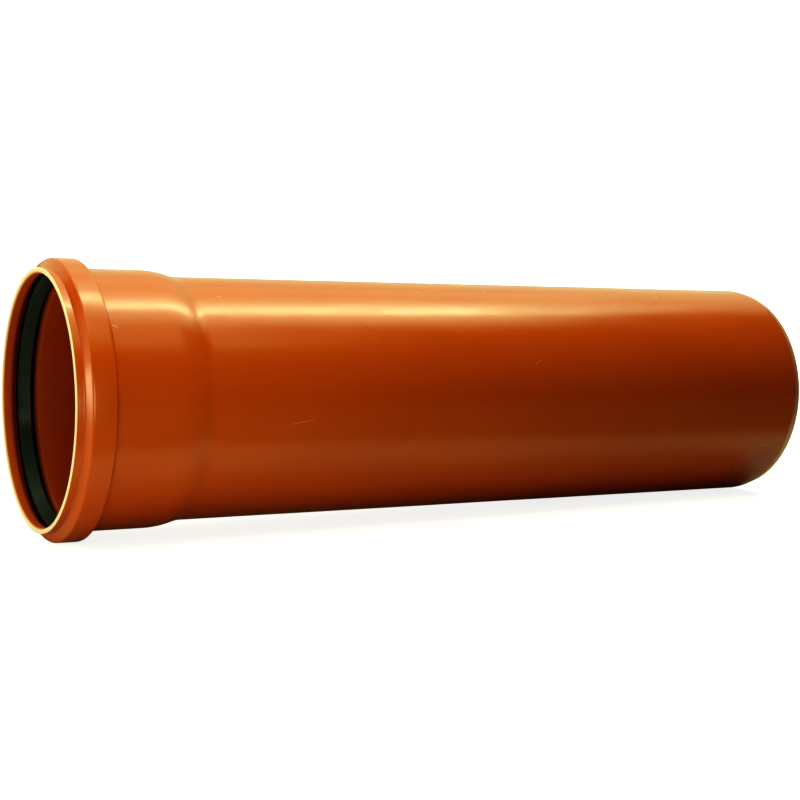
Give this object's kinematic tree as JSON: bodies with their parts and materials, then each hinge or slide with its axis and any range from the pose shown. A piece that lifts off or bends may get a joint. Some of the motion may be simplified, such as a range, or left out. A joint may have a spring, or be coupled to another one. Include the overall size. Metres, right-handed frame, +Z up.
{
  "type": "sewer pipe",
  "caption": "Short length of orange-brown plastic sewer pipe with a belled socket, a bead that holds a rubber lip seal and a chamfered spigot end; lies on its side.",
  "frame": {"origin": "middle of the box round the pipe, on the ground it lies on", "axes": "+X along the pipe from the socket to the spigot, +Z up; the pipe's own axis falls by about one degree towards the spigot, because it rests on its bead and on its barrel's end"},
  "size_m": [0.5769, 0.1802, 0.1804],
  "materials": {
    "pvc_pipe": "satin gloss",
    "seal_rubber": "matte"
  },
  "bodies": {
    "root": {"pipe": "pvc_pipe", "seal_ring": "seal_rubber"}
  },
  "joints": []
}
